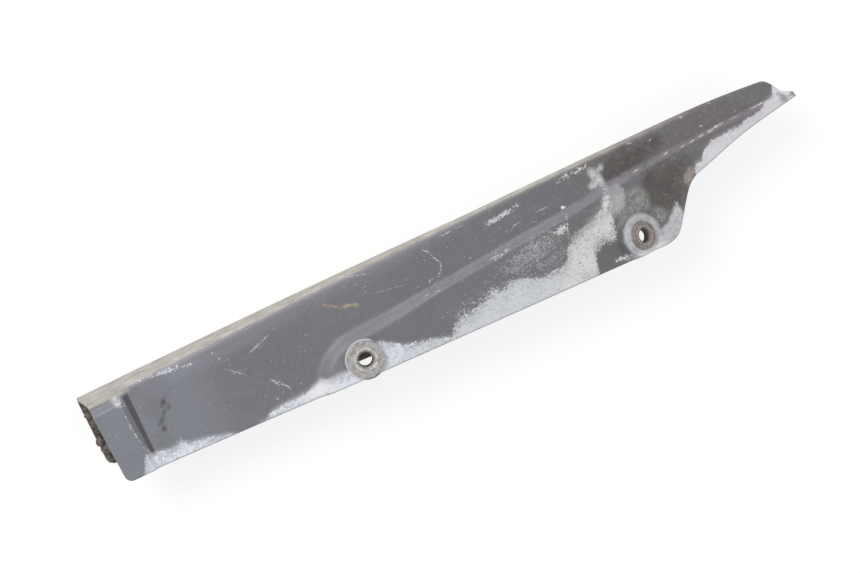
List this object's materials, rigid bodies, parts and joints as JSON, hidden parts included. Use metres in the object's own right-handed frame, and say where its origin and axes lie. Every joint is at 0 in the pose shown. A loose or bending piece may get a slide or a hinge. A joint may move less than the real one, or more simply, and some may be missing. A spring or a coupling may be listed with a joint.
{
  "type": "motorcycle chain guard",
  "caption": "Moulded channel-shaped guard that covers the upper run of a drive chain, with a stepped lower panel, a pointed tail and steel collars in its fixing holes.",
  "frame": {"origin": "on the axis of the front fixing hole, halfway along its collar's bore", "axes": "+X along the guard towards the tail, +Y up towards the top corner, +Z out of the outer face"},
  "size_m": [0.4052, 0.0589, 0.0442],
  "materials": {
    "moulding": "matt black moulding, greyed and scuffed white with wear",
    "collar_steel": "dull plated steel, mottled",
    "rusty_steel": "dull steel with brown rust"
  },
  "bodies": {
    "root": {"guard": "moulding", "front_collar": "collar_steel", "rear_collar": "rusty_steel"}
  },
  "joints": []
}
